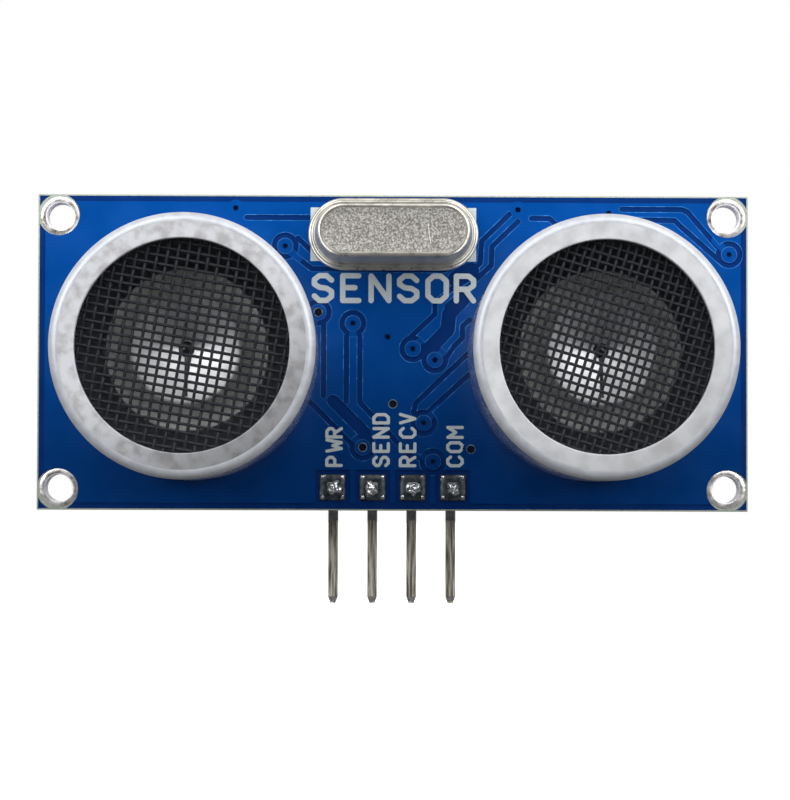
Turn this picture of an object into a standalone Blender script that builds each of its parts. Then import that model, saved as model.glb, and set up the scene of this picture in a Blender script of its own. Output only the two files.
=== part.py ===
"""Ultrasonic distance sensor: a small circuit board with two round transducers on its front.

Metres, +Z up. The board stands upright, its transducers face -Y and its header pins point down.
The origin is the centre of the board's back face.

Every piece is placed in the face frame, an empty on the board's front face: x runs to the right,
y up the board, and z is the height above the front face, towards the viewer. The board's back
face is at z = -BOARD_THICKNESS there.
"""

import math

import bmesh
import bpy
from mathutils import Matrix, Vector

MM = 0.001
GAP = 0.02 * MM  # air between two neighbouring solids

# Circuit board
BOARD_WIDTH = 45.0 * MM
BOARD_HEIGHT = 20.0 * MM
BOARD_THICKNESS = 1.6 * MM
CORNER_HOLE_X = 21.1 * MM
CORNER_HOLE_Y = 8.6 * MM
CORNER_HOLE_RADIUS = 0.85 * MM
LAND_RADIUS = 1.22 * MM
PLATING = 0.05 * MM

# Transducers
CAN_SPACING = 25.4 * MM
CAN_Y = -0.15 * MM
CAN_RADIUS = 8.0 * MM
CAN_HEIGHT = 12.0 * MM
CAN_INNER_RADIUS = 7.4 * MM
CAN_OPENING_RADIUS = 6.43 * MM
CAN_EDGE_RADIUS = 0.7 * MM
RIM_THICKNESS = 0.5 * MM
SCREEN_THICKNESS = 0.3 * MM
CONE_MOUTH_RADIUS = 3.4 * MM
CONE_FOOT_RADIUS = 0.6 * MM
CONE_MOUTH_Z = 7.8 * MM
CONE_SHEET = 0.15 * MM
DIAPHRAGM_RADIUS = 5.0 * MM
DIAPHRAGM_THICKNESS = 0.25 * MM
DIAPHRAGM_FRONT_Z = 6.0 * MM
PIEZO_RADIUS = 4.0 * MM
PIEZO_THICKNESS = 0.3 * MM
SUPPORT_RADIUS = 3.4 * MM
SUPPORT_BORE_RADIUS = 2.6 * MM
BASE_BACK_Z = 0.3 * MM
BASE_FRONT_Z = 2.3 * MM
LEAD_SPACING = 10.0 * MM
LEAD_RADIUS = 0.35 * MM
LEAD_TOP_Z = 4.3 * MM
LEAD_TAIL = 1.0 * MM  # how far a lead stands out behind the board
JUMPER_RADIUS = 0.06 * MM
JUMPER_INSET = 0.4 * MM  # from a disc's edge to where its jumper wire ends

# Crystal
CRYSTAL_Y = 7.5 * MM
CRYSTAL_FLANGE = (10.8 * MM, 4.6 * MM)
CRYSTAL_COVER = (10.0 * MM, 3.8 * MM)
CRYSTAL_HEIGHT = 3.75 * MM
CRYSTAL_FLANGE_HEIGHT = 0.45 * MM
CRYSTAL_WALL = 0.25 * MM
CRYSTAL_EDGE = 0.35 * MM
CRYSTAL_LEAD_SPACING = 4.88 * MM
CRYSTAL_LEAD_RADIUS = 0.215 * MM
CRYSTAL_LEAD_RISE = 0.35 * MM  # how far a lead stands up inside the cover
QUARTZ_BLANK = (7.4 * MM, 0.12 * MM, 1.9 * MM)

# Pin header
PIN_COUNT = 4
PIN_PITCH = 2.54 * MM
PIN_WIDTH = 0.64 * MM
PIN_ROW_Y = -8.53 * MM
PIN_TIP_Y = -16.0 * MM
PIN_TAPER = 0.6 * MM
PIN_TIP_WIDTH = 0.34 * MM
PIN_BEND_RADIUS = 0.8 * MM  # on the pin's centre line
PIN_DROP = 4.2 * MM  # from the board's back face to the centre of the hanging pins
PIN_FRONT_Z = 0.5 * MM
PIN_HOLE_RADIUS = 0.5 * MM
HEADER_DEPTH = 2.54 * MM
HEADER_HEIGHT = 2.5 * MM
HEADER_NOTCH = 0.35 * MM

# Parts soldered to the back face
CHIP_STANDOFF = 0.15 * MM
CHIP_SECTION = (3.9, 1.45)
CHIP_EDGE = 0.12 * MM
TRANSISTOR_SIZE = (2.9, 1.3, 1.0)
CAPACITOR_SIZE = (2.0, 1.25, 0.85)
RESISTOR_SIZE = (1.6, 0.8, 0.45)

TURN_STEPS = 48
FINE_STEPS = 16


def clear_scene():
    for obj in list(bpy.data.objects):
        bpy.data.objects.remove(obj, do_unlink=True)


def new_collection(name):
    collection = bpy.data.collections.new(name)
    bpy.context.scene.collection.children.link(collection)
    return collection


def material(name, colour, roughness, metallic=0.0):
    """A Principled BSDF material of one colour."""
    made = bpy.data.materials.new(name)
    made.use_nodes = True
    shader = made.node_tree.nodes["Principled BSDF"]
    shader.inputs["Base Color"].default_value = (*colour, 1.0)
    shader.inputs["Roughness"].default_value = roughness
    shader.inputs["Metallic"].default_value = metallic
    return made


clear_scene()
PARTS = new_collection("ultrasonic_distance_sensor")
CUTTERS = new_collection("cutters")

BOARD_BLUE = material("board_laminate", (0.01, 0.09, 0.34), 0.4)
TINNED = material("tinned_copper", (0.72, 0.72, 0.7), 0.3, 1.0)
ALUMINIUM = material("can_aluminium", (0.8, 0.8, 0.82), 0.3, 1.0)
SCREEN_BLACK = material("screen_wire", (0.02, 0.02, 0.025), 0.5, 0.5)
CONE_METAL = material("cone_metal", (0.85, 0.85, 0.85), 0.25, 1.0)
DISC_METAL = material("disc_metal", (0.45, 0.43, 0.4), 0.4, 1.0)
CERAMIC = material("piezo_ceramic", (0.6, 0.56, 0.45), 0.6)
SILICONE = material("silicone", (0.75, 0.75, 0.73), 0.5)
GLUE = material("glue_drop", (0.03, 0.03, 0.03), 0.15)
BASE_PLASTIC = material("base_plastic", (0.05, 0.05, 0.05), 0.6)
LEAD_METAL = material("lead_wire", (0.6, 0.6, 0.58), 0.35, 1.0)
NICKEL = material("crystal_nickel", (0.5, 0.48, 0.44), 0.35, 1.0)
QUARTZ = material("quartz", (0.85, 0.87, 0.9), 0.1)
HEADER_BLACK = material("header_plastic", (0.02, 0.02, 0.02), 0.5)
PIN_METAL = material("pin_metal", (0.5, 0.47, 0.4), 0.35, 1.0)
SOLDER = material("solder", (0.7, 0.7, 0.7), 0.25, 1.0)
CHIP_BLACK = material("chip_plastic", (0.025, 0.025, 0.028), 0.6)
RESISTOR_BLACK = material("resistor_body", (0.03, 0.03, 0.035), 0.4)
CAPACITOR_TAN = material("capacitor_body", (0.42, 0.3, 0.18), 0.5)


def empty(name, location, rotation=(0.0, 0.0, 0.0), parent=None):
    """A frame that pieces are placed in."""
    made = bpy.data.objects.new(name, None)
    made.location = location
    made.rotation_euler = rotation
    made.parent = parent
    PARTS.objects.link(made)
    return made


FACE = empty("face", (0.0, -BOARD_THICKNESS, 0.0), (math.radians(90), 0.0, 0.0))


def place(name, data, finish, parent=FACE, location=(0.0, 0.0, 0.0)):
    """Makes the named piece from its mesh or curve."""
    made = bpy.data.objects.new(name, data)
    made.location = location
    made.parent = parent
    data.materials.append(finish)
    PARTS.objects.link(made)
    return made


def mesh_from(bm, name):
    mesh = bpy.data.meshes.new(name)
    bm.to_mesh(mesh)
    bm.free()
    return mesh


def box(name, size, centre, finish, edge=0.0):
    """A block with small rounded edges."""
    bm = bmesh.new()
    bmesh.ops.create_cube(bm, size=1.0)
    bmesh.ops.scale(bm, vec=size, verts=bm.verts)
    made = place(name, mesh_from(bm, name), finish, location=centre)
    if edge:
        rounding = made.modifiers.new("Rounding", "BEVEL")
        rounding.width = edge
        rounding.segments = 1
    return made


def turned(name, profile, finish, parent=FACE, location=(0.0, 0.0, 0.0), steps=TURN_STEPS):
    """A solid of revolution about z. The profile is (radius, z) down the outer side."""
    points = [(radius, 0.0, z) for radius, z in profile]
    edges = [(i, i + 1) for i in range(len(points) - 1)]
    if profile[0][0] > 0:
        edges.append((len(points) - 1, 0))
    mesh = bpy.data.meshes.new(name)
    mesh.from_pydata(points, edges, [])
    made = place(name, mesh, finish, parent, location)
    screw = made.modifiers.new("Turn", "SCREW")
    screw.steps = steps
    screw.render_steps = steps
    screw.use_merge_vertices = True
    screw.merge_threshold = 0.000001
    return made


def disc(name, radius, low, high, finish, parent, steps=TURN_STEPS):
    profile = [(0.0, high), (radius, high), (radius, low), (0.0, low)]
    return turned(name, profile, finish, parent, steps=steps)


def wire(name, points, radius, finish, parent):
    """A round wire along straight stretches."""
    curve = bpy.data.curves.new(name, "CURVE")
    curve.dimensions = "3D"
    curve.bevel_depth = radius
    curve.bevel_resolution = 1
    curve.use_fill_caps = True
    line = curve.splines.new("POLY")
    line.points.add(len(points) - 1)
    for point, position in zip(line.points, points):
        point.co = (*position, 1.0)
    return place(name, curve, finish, parent)


def flat_curve(name, loops, half_depth):
    """A flat outline in x and y, solid through its depth. Loops inside the first are holes."""
    curve = bpy.data.curves.new(name, "CURVE")
    curve.dimensions = "2D"
    curve.fill_mode = "BOTH"
    curve.extrude = half_depth
    for loop in loops:
        line = curve.splines.new("POLY")
        line.points.add(len(loop) - 1)
        line.use_cyclic_u = True
        for point, position in zip(line.points, loop):
            point.co = (*position, 0.0, 1.0)
    return curve


def mesh_of(curve):
    """The curve's own solid as one welded mesh."""
    helper = bpy.data.objects.new("helper", curve)
    bpy.context.scene.collection.objects.link(helper)
    graph = bpy.context.evaluated_depsgraph_get()
    mesh = bpy.data.meshes.new_from_object(helper.evaluated_get(graph))
    bpy.data.objects.remove(helper)
    bm = bmesh.new()
    bm.from_mesh(mesh)
    bmesh.ops.remove_doubles(bm, verts=bm.verts, dist=0.000001)
    bm.to_mesh(mesh)
    bm.free()
    return mesh


def arc(centre, radius, start, end, steps):
    """Points along a circular arc, with angles in degrees."""
    angles = [math.radians(start + (end - start) * i / steps) for i in range(steps + 1)]
    return [(centre[0] + radius * math.cos(a), centre[1] + radius * math.sin(a)) for a in angles]


def stadium(length, width, steps=8):
    """A long outline with half-round ends, centred on the origin."""
    radius = width / 2
    reach = length / 2 - radius
    right = arc((reach, 0.0), radius, -90, 90, steps)
    left = arc((-reach, 0.0), radius, 90, 270, steps)
    return right + left


def cut_out(target, mesh, offset=(0.0, 0.0, 0.0)):
    """Cuts the mesh, placed at an offset from the piece, out of the piece."""
    cutter = bpy.data.objects.new(mesh.name, mesh)
    cutter.parent = target.parent
    cutter.location = target.location + Vector(offset)
    cutter.hide_render = True
    cutter.display_type = "WIRE"
    CUTTERS.objects.link(cutter)
    cut = target.modifiers.new("Cut", "BOOLEAN")
    cut.operation = "DIFFERENCE"
    cut.solver = "EXACT"
    cut.object = cutter


def drill(target, holes, low, high, steps=FINE_STEPS):
    """Cuts round holes, given as (x, y, radius), through the piece from z low to z high."""
    bm = bmesh.new()
    for x, y, radius in holes:
        bmesh.ops.create_cone(
            bm,
            cap_ends=True,
            segments=steps,
            radius1=radius,
            radius2=radius,
            depth=high - low,
            matrix=Matrix.Translation((x, y, (low + high) / 2)),
        )
    cut_out(target, mesh_from(bm, target.name + "_holes"))


def corner_places():
    """(name, x, y) of the four corner holes."""
    rows = (("upper", CORNER_HOLE_Y), ("lower", -CORNER_HOLE_Y))
    columns = (("left", -CORNER_HOLE_X), ("right", CORNER_HOLE_X))
    return [(f"{row}_{side}", x, y) for row, y in rows for side, x in columns]


def transducer_places():
    return (("transmitter", -CAN_SPACING / 2, CAN_Y), ("receiver", CAN_SPACING / 2, CAN_Y))


def sides(spacing):
    """(name, offset) of a left and a right piece this far apart."""
    return (("left", -spacing / 2), ("right", spacing / 2))


def pin_columns():
    first = -PIN_PITCH * (PIN_COUNT - 1) / 2
    return [(number + 1, first + PIN_PITCH * number) for number in range(PIN_COUNT)]


def board_holes():
    """Every hole through the board, as (x, y, radius)."""
    holes = [(x, y, CORNER_HOLE_RADIUS + PLATING + GAP) for _, x, y in corner_places()]
    holes += [(x, PIN_ROW_Y, PIN_HOLE_RADIUS) for _, x in pin_columns()]
    for _, x, y in transducer_places():
        holes += [(x + offset, y, LEAD_RADIUS + 2 * GAP) for _, offset in sides(LEAD_SPACING)]
    for _, offset in sides(CRYSTAL_LEAD_SPACING):
        holes.append((offset, CRYSTAL_Y, CRYSTAL_LEAD_RADIUS + 2 * GAP))
    return holes


def circuit_board():
    """The laminate with its holes."""
    size = (BOARD_WIDTH, BOARD_HEIGHT, BOARD_THICKNESS)
    board = box("circuit_board", size, (0.0, 0.0, -BOARD_THICKNESS / 2), BOARD_BLUE)
    drill(board, board_holes(), -BOARD_THICKNESS, BOARD_THICKNESS)


def corner_rings():
    """Plated eyelets: a barrel through each corner hole and a flat land on both faces."""
    bore = CORNER_HOLE_RADIUS
    barrel = bore + PLATING
    front = GAP
    back = -BOARD_THICKNESS - GAP
    profile = [
        (LAND_RADIUS, front + PLATING),
        (LAND_RADIUS, front),
        (barrel, front),
        (barrel, back),
        (LAND_RADIUS, back),
        (LAND_RADIUS, back - PLATING),
        (bore, back - PLATING),
        (bore, front + PLATING),
    ]
    for name, x, y in corner_places():
        turned(f"corner_ring_{name}", profile, TINNED, location=(x, y, 0.0), steps=FINE_STEPS)


def can_profile():
    """An open tube with a flat rim turned in at the front and a rounded outer edge."""
    shoulder = (CAN_RADIUS - CAN_EDGE_RADIUS, CAN_HEIGHT - CAN_EDGE_RADIUS)
    edge = arc(shoulder, CAN_EDGE_RADIUS, 90, 0, 4)
    rim_back = CAN_HEIGHT - RIM_THICKNESS
    foot = 2 * GAP
    return edge + [
        (CAN_RADIUS, foot),
        (CAN_INNER_RADIUS, foot),
        (CAN_INNER_RADIUS, rim_back),
        (CAN_OPENING_RADIUS, rim_back),
        (CAN_OPENING_RADIUS, CAN_HEIGHT),
    ]


def cone_profile():
    """A thin dish that widens from its glued foot to its mouth."""
    foot_z = DIAPHRAGM_FRONT_Z + GAP
    return [
        (CONE_MOUTH_RADIUS, CONE_MOUTH_Z),
        (CONE_FOOT_RADIUS + CONE_SHEET, foot_z),
        (CONE_FOOT_RADIUS, foot_z),
        (CONE_FOOT_RADIUS, foot_z + CONE_SHEET),
        (CONE_MOUTH_RADIUS - CONE_SHEET, CONE_MOUTH_Z),
    ]


def glue_profile():
    """A low dome inside the cone's foot."""
    low = DIAPHRAGM_FRONT_Z + GAP
    radius = CONE_FOOT_RADIUS - GAP
    dome = arc((0.0, low + 0.1 * MM), radius, 90, 0, 4)
    dome[0] = (0.0, dome[0][1])
    return dome + [(radius, low), (0.0, low)]


def jumper_path(lead_x, end_radius, end_z):
    """From the top of a lead up to the back of the disc."""
    side = math.copysign(1.0, lead_x)
    start = LEAD_TOP_Z + GAP
    return [
        (lead_x, 0.0, start),
        (side * (0.7 * abs(lead_x) + 0.3 * end_radius), 0.0, start + 0.3 * (end_z - start)),
        (side * (0.2 * abs(lead_x) + 0.8 * end_radius), 0.0, start + 0.6 * (end_z - start)),
        (side * end_radius, 0.0, end_z),
    ]


def transducer(name, x, y):
    """One can with its screen, resonator cone, vibrating disc, base and leads."""
    frame = empty(name, (x, y, 0.0), parent=FACE)
    screen_top = CAN_HEIGHT - RIM_THICKNESS - GAP
    screen_back = screen_top - SCREEN_THICKNESS
    diaphragm_back = DIAPHRAGM_FRONT_Z - DIAPHRAGM_THICKNESS
    piezo_front = diaphragm_back - GAP
    piezo_back = piezo_front - PIEZO_THICKNESS
    support_top = piezo_back - GAP
    support_foot = BASE_FRONT_Z + GAP
    support = [
        (SUPPORT_RADIUS, support_top),
        (SUPPORT_RADIUS, support_foot),
        (SUPPORT_BORE_RADIUS, support_foot),
        (SUPPORT_BORE_RADIUS, support_top),
    ]
    wall_clear = CAN_INNER_RADIUS - 2 * GAP
    turned(f"{name}_case", can_profile(), ALUMINIUM, frame)
    disc(f"{name}_screen", wall_clear, screen_back, screen_top, SCREEN_BLACK, frame)
    turned(f"{name}_cone", cone_profile(), CONE_METAL, frame, steps=32)
    turned(f"{name}_cone_glue", glue_profile(), GLUE, frame, steps=FINE_STEPS)
    disc(f"{name}_diaphragm", DIAPHRAGM_RADIUS, diaphragm_back, DIAPHRAGM_FRONT_Z, DISC_METAL, frame, 32)
    disc(f"{name}_piezo_disc", PIEZO_RADIUS, piezo_back, piezo_front, CERAMIC, frame, 32)
    turned(f"{name}_support_ring", support, SILICONE, frame, steps=32)
    base = disc(f"{name}_base", wall_clear, BASE_BACK_Z, BASE_FRONT_Z, BASE_PLASTIC, frame)
    lead_holes = [(offset, 0.0, LEAD_RADIUS + GAP) for _, offset in sides(LEAD_SPACING)]
    drill(base, lead_holes, 0.0, BASE_FRONT_Z + BASE_BACK_Z)
    tail = -BOARD_THICKNESS - LEAD_TAIL
    for side, offset in sides(LEAD_SPACING):
        lead = [(0.0, LEAD_TOP_Z), (LEAD_RADIUS, LEAD_TOP_Z), (LEAD_RADIUS, tail), (0.0, tail)]
        turned(f"{name}_lead_{side}", lead, LEAD_METAL, frame, (offset, 0.0, 0.0), FINE_STEPS)
    left, right = (offset for _, offset in sides(LEAD_SPACING))
    to_disc = jumper_path(left, DIAPHRAGM_RADIUS - JUMPER_INSET, diaphragm_back - GAP)
    to_piezo = jumper_path(right, PIEZO_RADIUS - JUMPER_INSET, piezo_back - GAP)
    wire(f"{name}_jumper_to_diaphragm", to_disc, JUMPER_RADIUS, LEAD_METAL, frame)
    wire(f"{name}_jumper_to_piezo", to_piezo, JUMPER_RADIUS, LEAD_METAL, frame)


def round_top(mesh, radius):
    """Rounds the edges around a prism's top face."""
    bm = bmesh.new()
    bm.from_mesh(mesh)
    bmesh.ops.dissolve_limit(bm, angle_limit=0.01, verts=bm.verts, edges=bm.edges)
    top = max(vert.co.z for vert in bm.verts)
    rim = [e for e in bm.edges if all(abs(v.co.z - top) < radius / 100 for v in e.verts)]
    bmesh.ops.bevel(bm, geom=rim, offset=radius, segments=3, profile=0.5, affect="EDGES")
    bm.to_mesh(mesh)
    bm.free()


def crystal():
    """A low metal can over a quartz strip, on a flanged base with two leads."""
    frame = empty("crystal", (0.0, CRYSTAL_Y, 0.0), parent=FACE)
    foot = 2 * GAP
    flange_top = foot + CRYSTAL_FLANGE_HEIGHT
    flange_half = CRYSTAL_FLANGE_HEIGHT / 2
    flange_mesh = mesh_of(flat_curve("crystal_base", [stadium(*CRYSTAL_FLANGE)], flange_half))
    flange = place("crystal_base", flange_mesh, NICKEL, frame, (0.0, 0.0, foot + flange_half))
    lead_holes = [(x, 0.0, CRYSTAL_LEAD_RADIUS + GAP) for _, x in sides(CRYSTAL_LEAD_SPACING)]
    drill(flange, lead_holes, -CRYSTAL_FLANGE_HEIGHT, CRYSTAL_FLANGE_HEIGHT, 12)

    cover_foot = flange_top + GAP
    cover_half = (CRYSTAL_HEIGHT - cover_foot) / 2
    cover_mesh = mesh_of(flat_curve("crystal_cover", [stadium(*CRYSTAL_COVER)], cover_half))
    round_top(cover_mesh, CRYSTAL_EDGE)
    cover = place("crystal_cover", cover_mesh, NICKEL, frame, (0.0, 0.0, cover_foot + cover_half))
    hollow_size = [side - 2 * CRYSTAL_WALL for side in CRYSTAL_COVER]
    hollow_mesh = mesh_of(flat_curve("crystal_hollow", [stadium(*hollow_size)], cover_half))
    cut_out(cover, hollow_mesh, (0.0, 0.0, -CRYSTAL_WALL))

    lead_top = flange_top + CRYSTAL_LEAD_RISE
    tail = -BOARD_THICKNESS - LEAD_TAIL
    radius = CRYSTAL_LEAD_RADIUS
    lead = [(0.0, lead_top), (radius, lead_top), (radius, tail), (0.0, tail)]
    for side, offset in sides(CRYSTAL_LEAD_SPACING):
        turned(f"crystal_lead_{side}", lead, LEAD_METAL, frame, (offset, 0.0, 0.0), 12)
    blank_z = lead_top + GAP + QUARTZ_BLANK[2] / 2
    box("crystal_quartz_blank", QUARTZ_BLANK, (0.0, CRYSTAL_Y, blank_z), QUARTZ)


def header_outline():
    """The header body's outline: a row of blocks with a notch between each two."""
    half = HEADER_HEIGHT / 2
    cell = PIN_PITCH / 2
    above = []
    for _, x in pin_columns():
        above += [(x - cell, half - HEADER_NOTCH), (x - cell + HEADER_NOTCH, half)]
        above += [(x + cell - HEADER_NOTCH, half)]
    above.append((cell * PIN_COUNT, half - HEADER_NOTCH))
    below = [(x, -y) for x, y in reversed(above)]
    return above + below


def square_loop(x, half):
    return [(x - half, -half), (x + half, -half), (x + half, half), (x - half, half)]


def pin_outline():
    """The pin seen from its side: x is the height above the board's front, y runs up."""
    half = PIN_WIDTH / 2
    drop_x = -BOARD_THICKNESS - PIN_DROP
    centre = (drop_x + PIN_BEND_RADIUS, PIN_ROW_Y - PIN_BEND_RADIUS)
    outer = arc(centre, PIN_BEND_RADIUS + half, 90, 180, 6)
    inner = arc(centre, PIN_BEND_RADIUS - half, 180, 90, 6)
    taper_y = PIN_TIP_Y + PIN_TAPER
    tip = PIN_TIP_WIDTH / 2
    front = [(PIN_FRONT_Z, PIN_ROW_Y - half), (PIN_FRONT_Z, PIN_ROW_Y + half)]
    point = [
        (drop_x - half, taper_y),
        (drop_x - tip, PIN_TIP_Y),
        (drop_x + tip, PIN_TIP_Y),
        (drop_x + half, taper_y),
    ]
    return front + outer + point + inner


def header():
    """The plastic strip on the board's back and its four pins, bent down behind the board."""
    back = -BOARD_THICKNESS - GAP
    opening = PIN_WIDTH / 2 + GAP
    loops = [header_outline()] + [square_loop(x, opening) for _, x in pin_columns()]
    body = flat_curve("header_body", loops, HEADER_DEPTH / 2)
    place("header_body", body, HEADER_BLACK, location=(0.0, PIN_ROW_Y, back - HEADER_DEPTH / 2))
    for number, x in pin_columns():
        pin = flat_curve(f"header_pin_{number}", [pin_outline()], PIN_WIDTH / 2)
        made = place(f"header_pin_{number}", pin, PIN_METAL, location=(x, 0.0, 0.0))
        made.rotation_euler = (0.0, math.radians(-90), 0.0)


def fillet(bore, foot, height, front):
    """A solder fillet around a lead, on the board's front or on its back."""
    rise = [(bore, height), (bore + 0.35 * (foot - bore), 0.75 * height)]
    rise += [(bore + 0.75 * (foot - bore), 0.3 * height), (foot, 0.0)]
    if front:
        return [(radius, z + GAP) for radius, z in rise + [(bore, 0.0)]]
    back = -BOARD_THICKNESS - GAP
    return [(radius, back - z) for radius, z in reversed(rise + [(bore, 0.0)])]


def solder():
    """The joints of the header pins, of the transducers' leads and of the crystal's leads."""
    diagonal = PIN_WIDTH / 2 * math.sqrt(2)
    on_pin = fillet(diagonal + GAP, 0.82 * MM, 0.45 * MM, front=True)
    for number, x in pin_columns():
        turned(f"header_solder_{number}", on_pin, SOLDER, location=(x, PIN_ROW_Y, 0.0), steps=12)
    on_lead = fillet(LEAD_RADIUS + GAP, 1.15 * MM, 0.8 * MM, front=False)
    for name, x, y in transducer_places():
        for side, offset in sides(LEAD_SPACING):
            turned(f"{name}_solder_{side}", on_lead, SOLDER, location=(x + offset, y, 0.0), steps=16)
    on_wire = fillet(CRYSTAL_LEAD_RADIUS + GAP, 0.85 * MM, 0.7 * MM, front=False)
    for side, offset in sides(CRYSTAL_LEAD_SPACING):
        turned(f"crystal_solder_{side}", on_wire, SOLDER, location=(offset, CRYSTAL_Y, 0.0), steps=12)


def back_parts():
    """The chips, the transistor, and the larger chip capacitors and resistors, in millimetres."""
    small_chip = (8.65, *CHIP_SECTION)
    long_chip = (9.9, *CHIP_SECTION)
    parts = (
        ("controller_chip", 0.0, 3.6, small_chip, CHIP_BLACK, CHIP_STANDOFF),
        ("amplifier_chip", 12.9, 4.6, small_chip, CHIP_BLACK, CHIP_STANDOFF),
        ("driver_chip", -12.7, 4.6, long_chip, CHIP_BLACK, CHIP_STANDOFF),
        ("switching_transistor", -3.4, -3.6, TRANSISTOR_SIZE, CHIP_BLACK, CHIP_STANDOFF),
        ("supply_capacitor", 3.6, -4.3, CAPACITOR_SIZE, CAPACITOR_TAN, GAP),
        ("filter_capacitor", 12.7, -3.6, CAPACITOR_SIZE, CAPACITOR_TAN, GAP),
        ("charge_capacitor", -12.7, -3.6, CAPACITOR_SIZE, CAPACITOR_TAN, GAP),
        ("pull_up_resistor", 3.6, -1.8, RESISTOR_SIZE, RESISTOR_BLACK, GAP),
        ("gain_resistor", 12.7, -1.2, RESISTOR_SIZE, RESISTOR_BLACK, GAP),
    )
    for name, x, y, size, finish, standoff in parts:
        width, height, thickness = (side * MM for side in size)
        z = -BOARD_THICKNESS - standoff - thickness / 2
        edge = CHIP_EDGE if finish is CHIP_BLACK else 0.0
        box(name, (width, height, thickness), (x * MM, y * MM, z), finish, edge)


circuit_board()
corner_rings()
for can_name, can_x, can_y in transducer_places():
    transducer(can_name, can_x, can_y)
crystal()
header()
solder()
back_parts()
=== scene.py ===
"""The looks of the ultrasonic distance sensor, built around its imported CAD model.

Shapes are written in millimetres in two flat frames. FRONT lies on the board's front face: x runs
to the right, y up, and z out towards the viewer. BACK lies on the board's back face: x runs to the
right as seen from behind, y up, and z out of the back.
"""

import math
import random

import bmesh
import bpy
from mathutils import Matrix, Vector, noise


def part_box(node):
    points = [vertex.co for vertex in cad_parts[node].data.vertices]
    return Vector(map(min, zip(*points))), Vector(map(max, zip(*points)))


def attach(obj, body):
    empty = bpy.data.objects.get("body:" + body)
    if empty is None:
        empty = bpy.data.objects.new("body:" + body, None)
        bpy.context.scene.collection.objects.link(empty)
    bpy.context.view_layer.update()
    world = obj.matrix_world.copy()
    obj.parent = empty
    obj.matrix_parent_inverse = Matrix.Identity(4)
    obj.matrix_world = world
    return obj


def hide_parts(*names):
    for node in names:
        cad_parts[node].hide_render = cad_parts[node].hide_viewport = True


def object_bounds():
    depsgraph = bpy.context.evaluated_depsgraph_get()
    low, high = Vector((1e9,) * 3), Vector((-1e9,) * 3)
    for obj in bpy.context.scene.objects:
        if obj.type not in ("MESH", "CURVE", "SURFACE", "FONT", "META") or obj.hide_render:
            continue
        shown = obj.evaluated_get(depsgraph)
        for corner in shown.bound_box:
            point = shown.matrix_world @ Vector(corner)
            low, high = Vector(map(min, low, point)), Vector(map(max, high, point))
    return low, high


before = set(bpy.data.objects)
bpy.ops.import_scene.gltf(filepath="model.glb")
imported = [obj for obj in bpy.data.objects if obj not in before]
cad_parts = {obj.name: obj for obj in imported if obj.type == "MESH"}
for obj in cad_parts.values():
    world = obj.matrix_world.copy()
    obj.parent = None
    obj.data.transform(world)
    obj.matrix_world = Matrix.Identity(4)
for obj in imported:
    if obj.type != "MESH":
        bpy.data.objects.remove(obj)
cad_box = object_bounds()

MM = 0.001
RANDOM = random.Random(7)

# ---------------------------------------------------------------------------
# Frames and places taken from the CAD model

BOARD_LOW, BOARD_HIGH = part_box("circuit_board")
FRONT = Matrix.Translation((0.0, BOARD_LOW.y, 0.0)) @ Matrix.Rotation(math.radians(90), 4, "X")
THICKNESS = (BOARD_HIGH.y - BOARD_LOW.y) / MM
BACK = FRONT @ Matrix.Translation((0.0, 0.0, -THICKNESS * MM)) @ Matrix.Rotation(math.pi, 4, "Y")
BOARD_X = BOARD_HIGH.x / MM
BOARD_Y = BOARD_HIGH.z / MM


def local_box(node, frame_matrix=FRONT):
    """A CAD node's low and high corner, centre and half size, in millimetres in a flat frame."""
    inverse = frame_matrix.inverted()
    corners = [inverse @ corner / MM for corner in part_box(node)]
    low = Vector(map(min, *corners))
    high = Vector(map(max, *corners))
    return low, high, (low + high) / 2, (high - low) / 2


def middle(node):
    return local_box(node)[2]


# ---------------------------------------------------------------------------
# Materials

# The part of a noise over which roughness and even() vary
NOISE_RANGE = (0.35, 0.65)


def node_tree(name):
    made = bpy.data.materials.new(name)
    made.use_nodes = True
    return made, made.node_tree, made.node_tree.nodes["Principled BSDF"]


def noise_node(tree, scale, detail=3.0, stretch=None):
    """Noise in object space: scale is in features a millimetre, and stretch is per axis."""
    coords = tree.nodes.new("ShaderNodeTexCoord")
    mapping = tree.nodes.new("ShaderNodeMapping")
    factors = stretch or (1.0, 1.0, 1.0)
    mapping.inputs["Scale"].default_value = [factor * scale / MM for factor in factors]
    made = tree.nodes.new("ShaderNodeTexNoise")
    made.inputs["Scale"].default_value = 1.0
    made.inputs["Detail"].default_value = detail
    tree.links.new(coords.outputs["Object"], mapping.inputs["Vector"])
    tree.links.new(mapping.outputs["Vector"], made.inputs["Vector"])
    return made


def ramp(tree, source, stops):
    """A colour ramp over a noise: stops are (position, colour)."""
    made = tree.nodes.new("ShaderNodeValToRGB")
    elements = made.color_ramp.elements
    while len(elements) < len(stops):
        elements.new(0.5)
    for element, (position, colour) in zip(elements, stops):
        element.position = position
        element.color = (*colour, 1.0)
    tree.links.new(source.outputs["Fac"], made.inputs["Fac"])
    return made


def map_range(tree, value, start, end, smooth=False):
    """The socket of a value mapped from one (low, high) range onto another."""
    made = tree.nodes.new("ShaderNodeMapRange")
    if smooth:
        made.interpolation_type = "SMOOTHSTEP"
    for name, limit in zip(("From Min", "From Max", "To Min", "To Max"), (*start, *end)):
        made.inputs[name].default_value = limit
    tree.links.new(value, made.inputs["Value"])
    return made.outputs["Result"]


def math_node(tree, operation, *values):
    """The socket of a math operation on one or two sockets."""
    made = tree.nodes.new("ShaderNodeMath")
    made.operation = operation
    for socket, value in zip(made.inputs, values):
        tree.links.new(value, socket)
    return made.outputs["Value"]


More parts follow.
